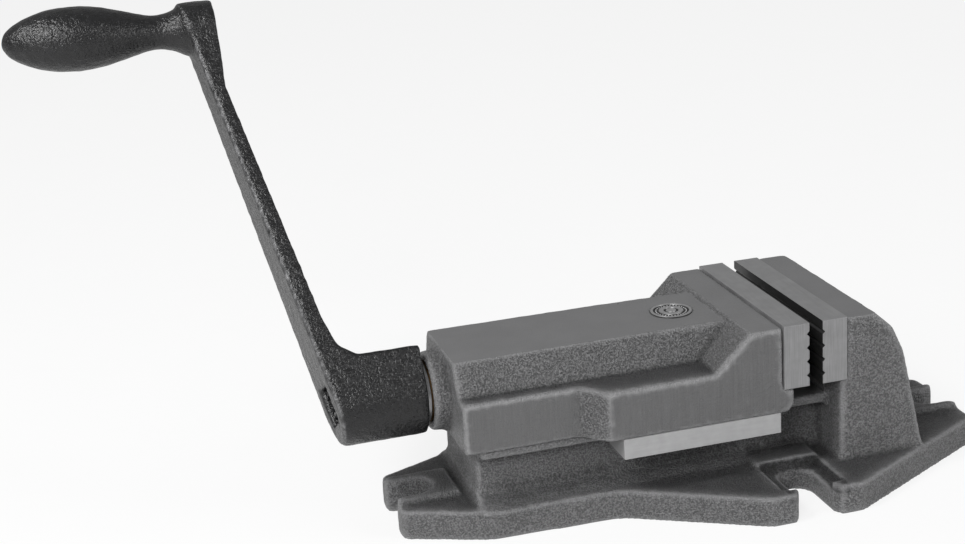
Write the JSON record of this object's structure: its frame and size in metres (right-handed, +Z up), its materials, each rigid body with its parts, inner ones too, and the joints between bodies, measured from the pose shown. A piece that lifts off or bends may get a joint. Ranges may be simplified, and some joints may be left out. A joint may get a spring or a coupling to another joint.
{
  "type": "machine vise",
  "caption": "Cast machine vise with a low slotted base, steel jaw plates, a sliding jaw on guide strips and a long crank handle on the spindle's square end.",
  "frame": {"origin": "on the underside of the base, in the mid-plane, below the fixed jaw's clamping face", "axes": "+Z up, +X from the crank towards the fixed jaw along the travel, +Y away from the pictured side"},
  "size_m": [0.4317, 0.1862, 0.2397],
  "materials": {
    "painted_casting": "rough cast, hammered grey",
    "jaw_steel": "ground, brushed",
    "strip_steel": "ground, brushed",
    "black_steel": "black oxide",
    "bronze": "machined bronze",
    "turned_steel": "turned steel",
    "badge_metal": "turned, plain",
    "black_casting": "gloss black over fine cast grain"
  },
  "bodies": {
    "base": {"base_casting": "painted_casting", "fixed_jaw_plate": "jaw_steel", "fixed_jaw_screws": "black_steel", "spindle_nut": "bronze", "nut_screws": "black_steel"},
    "moving_jaw": {"moving_jaw_casting": "painted_casting", "moving_jaw_plate": "jaw_steel", "moving_jaw_screws": "black_steel", "guide_strip_front": "strip_steel", "guide_strip_back": "strip_steel", "guide_strip_front_screws": "black_steel", "guide_strip_back_screws": "black_steel", "badge_disc": "badge_metal", "bearing_bush": "bronze"},
    "spindle": {"spindle": "turned_steel", "outer_thrust_washer": "turned_steel", "inner_thrust_washer": "bronze", "thrust_collar": "turned_steel", "collar_pin": "turned_steel"},
    "crank": {"crank": "black_casting"}
  },
  "joints": [
    {"name": "jaw_travel", "type": "slide", "parent": "base", "child": "moving_jaw", "axis": [1, 0, 0], "range_m": [-0.08851, 0.00621]},
    {"name": "spindle_spin", "type": "hinge", "parent": "moving_jaw", "child": "spindle", "pos_m": [-0.1, 0, 0.062], "axis": [1, 0, 0], "range_deg": [-6372, 446.4]},
    {"name": "crank_pull_off", "type": "slide", "parent": "spindle", "child": "crank", "axis": [-1, 0, 0], "range_m": [0, 0.032]}
  ],
  "couplings": [
    {"joint": "jaw_travel", "follows": "spindle_spin", "m_per_rad": 0.00079577}
  ]
}
